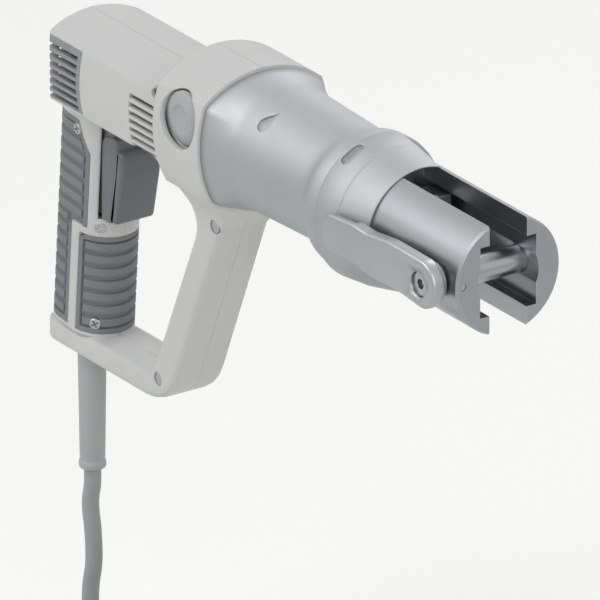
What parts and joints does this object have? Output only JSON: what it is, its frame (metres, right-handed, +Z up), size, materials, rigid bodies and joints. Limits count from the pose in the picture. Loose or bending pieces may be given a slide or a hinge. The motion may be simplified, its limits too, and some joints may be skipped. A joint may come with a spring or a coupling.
{
  "type": "press tool",
  "caption": "Corded pistol-grip press tool with a closed loop handle, a swivelling jaw fork on the nose, a lever-locked jaw bolt and a hanging mains cord.",
  "frame": {"origin": "centre of the hand grip", "axes": "+X forward to the jaw fork, +Y to the tool's left, +Z up"},
  "size_m": [0.3839, 0.1411, 0.391],
  "materials": {
    "casing": "fine moulded grain",
    "cap": "fine moulded grain",
    "grip": "soft ribbed moulding",
    "trigger": "satin moulded",
    "board": "laminate",
    "nose": "fine cast, satin",
    "fork": "turned and milled",
    "steel": "machined",
    "copper": "wound copper",
    "fan": "moulded",
    "cord": "smooth sheath",
    "strap": "woven tape",
    "plug": "moulded",
    "pins": "nickel plated"
  },
  "bodies": {
    "casing": {"casing_right": "casing", "casing_left": "casing", "rear_cap": "cap", "grip_rear_pad": "grip", "grip_front_cover": "grip", "switch_body": "trigger", "trigger_spring": "steel", "control_board": "board", "casing_screws": "steel", "nose_cone": "nose", "swivel_ring": "steel", "press_cylinder": "steel", "rod_guide": "steel", "return_spring": "steel", "pump_block": "steel", "bearing_plate": "nose", "motor_stator": "steel", "rear_bearing": "steel", "front_bearing": "steel", "brush_holders": "copper", "bend_relief": "cap", "power_cord": "cord", "cord_coil": "cord", "cord_tail": "cord", "coil_strap": "strap", "plug_body": "plug", "plug_pins": "pins"},
    "head": {"jaw_fork": "fork", "swivel_collar": "nose", "tapered_sleeve": "nose", "detent_pin": "steel"},
    "bolt": {"retaining_bolt": "fork", "lever_screw": "steel"},
    "lever": {"lock_lever": "fork"},
    "piston": {"press_piston": "steel", "roller_carriage": "steel", "roller_pins": "steel"},
    "upper_roller": {"roller_upper": "steel"},
    "lower_roller": {"roller_lower": "steel"},
    "trigger": {"trigger": "trigger"},
    "button": {"release_button": "trigger"},
    "armature": {"motor_shaft": "steel", "armature_core": "copper", "commutator": "copper", "cooling_fan": "fan", "motor_pinion": "steel"},
    "gear": {"drive_gear": "steel", "eccentric_shaft": "steel"}
  },
  "joints": [
    {"name": "head_swivel", "type": "hinge", "parent": "casing", "child": "head", "pos_m": [0.3, 0, 0.1], "axis": [1, 0, 0], "range_deg": [-135, 135]},
    {"name": "bolt_slide", "type": "slide", "parent": "head", "child": "bolt", "axis": [0, -1, 0], "range_m": [0, 0.044]},
    {"name": "lever_turn", "type": "hinge", "parent": "bolt", "child": "lever", "pos_m": [0.341, -0.036, 0.1], "axis": [0, 1, 0], "range_deg": [0, 180]},
    {"name": "piston_slide", "type": "slide", "parent": "head", "child": "piston", "axis": [1, 0, 0], "range_m": [0, 0.03], "deforming": ["return_spring"]},
    {"name": "upper_roller_spin", "type": "hinge", "parent": "piston", "child": "upper_roller", "pos_m": [0.285, 0, 0.109], "axis": [0, 1, 0], "continuous": true},
    {"name": "lower_roller_spin", "type": "hinge", "parent": "piston", "child": "lower_roller", "pos_m": [0.285, 0, 0.091], "axis": [0, 1, 0], "continuous": true},
    {"name": "trigger_slide", "type": "slide", "parent": "casing", "child": "trigger", "axis": [-1, 0, 0], "range_m": [0, 0.006], "deforming": ["trigger_spring"]},
    {"name": "button_press", "type": "slide", "parent": "casing", "child": "button", "axis": [0, 1, 0], "range_m": [0, 0.002]},
    {"name": "armature_spin", "type": "hinge", "parent": "casing", "child": "armature", "pos_m": [0.05, 0, 0.095], "axis": [1, 0, 0], "continuous": true},
    {"name": "gear_spin", "type": "hinge", "parent": "casing", "child": "gear", "pos_m": [0.118, 0, 0.116], "axis": [1, 0, 0], "continuous": true}
  ],
  "couplings": [
    {"joint": "gear_spin", "follows": "armature_spin", "ratio": -0.5}
  ]
}
